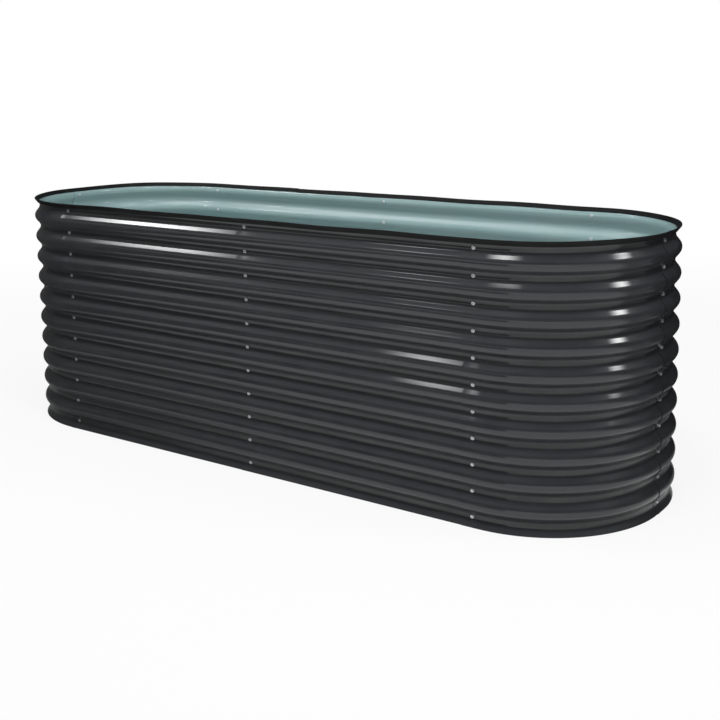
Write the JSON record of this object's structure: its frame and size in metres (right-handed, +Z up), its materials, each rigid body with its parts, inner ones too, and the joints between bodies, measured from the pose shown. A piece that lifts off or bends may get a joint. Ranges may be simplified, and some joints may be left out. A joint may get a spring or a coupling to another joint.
{
  "type": "raised garden bed",
  "caption": "Oval raised garden bed of lapped, bolted corrugated steel panels, open at top and bottom, with a rubber rim strip and tie rods inside.",
  "frame": {"origin": "on the ground, under the middle of the bed", "axes": "+X along the long sides towards the right end, -Y out of the front, +Z up"},
  "size_m": [2.3998, 0.8, 0.8048],
  "materials": {
    "painted_sheet": "semi-gloss charcoal paint outside, light grey-green inside",
    "zinc_steel": "bright zinc plate",
    "rim_rubber": "matte black rubber",
    "galvanised_rod": "galvanised"
  },
  "bodies": {
    "root": {"front_left_panel": "painted_sheet", "front_right_panel": "painted_sheet", "rear_left_panel": "painted_sheet", "rear_right_panel": "painted_sheet", "front_right_corner": "painted_sheet", "rear_right_corner": "painted_sheet", "rear_left_corner": "painted_sheet", "front_left_corner": "painted_sheet", "front_left_seam_bolts": "zinc_steel", "front_middle_seam_bolts": "zinc_steel", "front_right_seam_bolts": "zinc_steel", "right_end_seam_bolts": "zinc_steel", "rear_right_seam_bolts": "zinc_steel", "rear_middle_seam_bolts": "zinc_steel", "rear_left_seam_bolts": "zinc_steel", "left_end_seam_bolts": "zinc_steel", "front_left_seam_nuts": "zinc_steel", "front_middle_seam_nuts": "zinc_steel", "front_right_seam_nuts": "zinc_steel", "right_end_seam_nuts": "zinc_steel", "rear_right_seam_nuts": "zinc_steel", "rear_middle_seam_nuts": "zinc_steel", "rear_left_seam_nuts": "zinc_steel", "left_end_seam_nuts": "zinc_steel", "rim_strip": "rim_rubber", "lower_brace_rod": "galvanised_rod", "upper_brace_rod": "galvanised_rod"}
  },
  "joints": []
}
